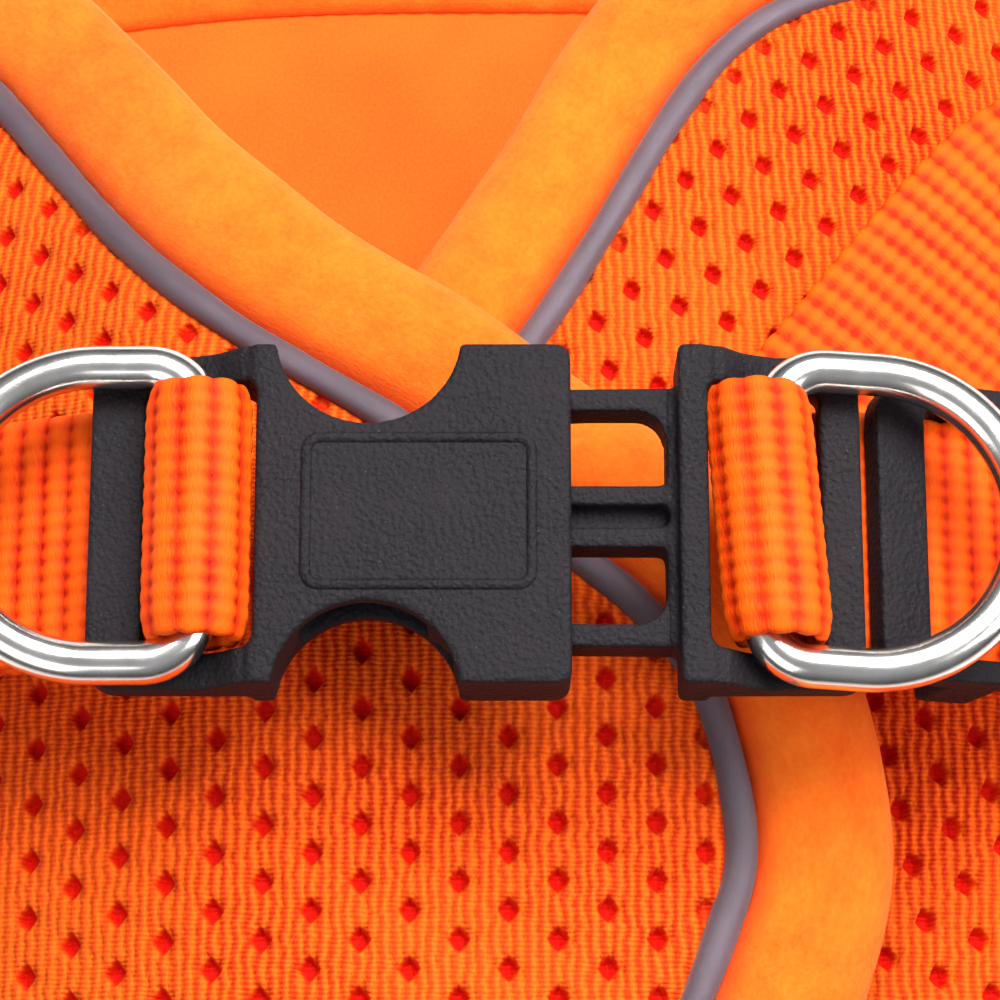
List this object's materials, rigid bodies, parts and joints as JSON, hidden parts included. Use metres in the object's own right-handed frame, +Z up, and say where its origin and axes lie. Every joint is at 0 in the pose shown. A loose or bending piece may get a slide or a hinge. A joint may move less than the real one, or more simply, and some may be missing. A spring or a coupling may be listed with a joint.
{
  "type": "dog harness",
  "caption": "Wrap-around mesh vest harness for a small dog, closed over the back with webbing straps, a side-release buckle, D-rings and a strap adjuster.",
  "frame": {"origin": "on the floor under the middle of the buckle, at the flat underside of the chest panel", "axes": "+Z up from the belly to the buckle, +Y towards the dog's head, +X from the left ring to the right ring in this view"},
  "size_m": [0.1674, 0.1643, 0.0923],
  "materials": {
    "mesh": "air mesh with a regular pattern of small holes",
    "lining": "smooth knitted lining",
    "closure": "hook-and-loop tape",
    "band": "soft brushed edge binding",
    "piping": "grey reflective piping",
    "webbing": "ribbed woven webbing",
    "buckle_plastic": "fine leather grain",
    "ring_metal": "polished nickel plate"
  },
  "bodies": {
    "vest": {"chest_mesh_panel": "mesh", "left_wing_mesh_panel": "mesh", "right_wing_mesh_panel": "mesh", "chest_lining": "lining", "left_wing_lining": "lining", "right_wing_lining": "lining", "hook_patch": "closure", "loop_patch": "closure", "neck_edge_band": "band", "rear_edge_band": "band", "left_leg_binding": "band", "right_leg_binding": "band", "neck_edge_piping": "piping", "rear_edge_piping": "piping", "left_strap": "webbing", "right_girth_strap": "webbing", "left_shoulder_strap": "webbing", "right_shoulder_strap": "webbing", "buckle_female": "buckle_plastic"},
    "plug": {"buckle_male": "buckle_plastic", "adjuster_strap": "webbing"},
    "upper_latch": {"upper_arm": "buckle_plastic"},
    "lower_latch": {"lower_arm": "buckle_plastic"},
    "adjuster": {"slider": "buckle_plastic", "slider_loop": "webbing"},
    "left_leash_ring": {"left_ring": "ring_metal"},
    "right_leash_ring": {"right_ring": "ring_metal"}
  },
  "joints": [
    {"name": "buckle_slide", "type": "slide", "parent": "vest", "child": "plug", "axis": [1, 0, 0], "range_m": [-0.008, 0.018], "deforming": ["adjuster_strap"]},
    {"name": "upper_arm_flex", "type": "hinge", "parent": "plug", "child": "upper_latch", "pos_m": [0.0126, 0.0094, 0.086], "axis": [0, 0, 1], "range_deg": [0, 4], "stiffness_Nm_per_rad": 2},
    {"name": "lower_arm_flex", "type": "hinge", "parent": "plug", "child": "lower_latch", "pos_m": [0.0126, -0.0094, 0.086], "axis": [0, 0, -1], "range_deg": [0, 4], "stiffness_Nm_per_rad": 2},
    {"name": "adjuster_slide", "type": "slide", "parent": "plug", "child": "adjuster", "axis": [0.9397, 0, -0.342], "range_m": [0, 0.01]},
    {"name": "left_ring_swing", "type": "hinge", "parent": "vest", "child": "left_leash_ring", "pos_m": [-0.02335, 0, 0.0886], "axis": [0, 1, 0], "range_deg": [0, 110]},
    {"name": "right_ring_swing", "type": "hinge", "parent": "plug", "child": "right_leash_ring", "pos_m": [0.02065, 0, 0.0886], "axis": [0, -1, 0], "range_deg": [0, 110]}
  ]
}
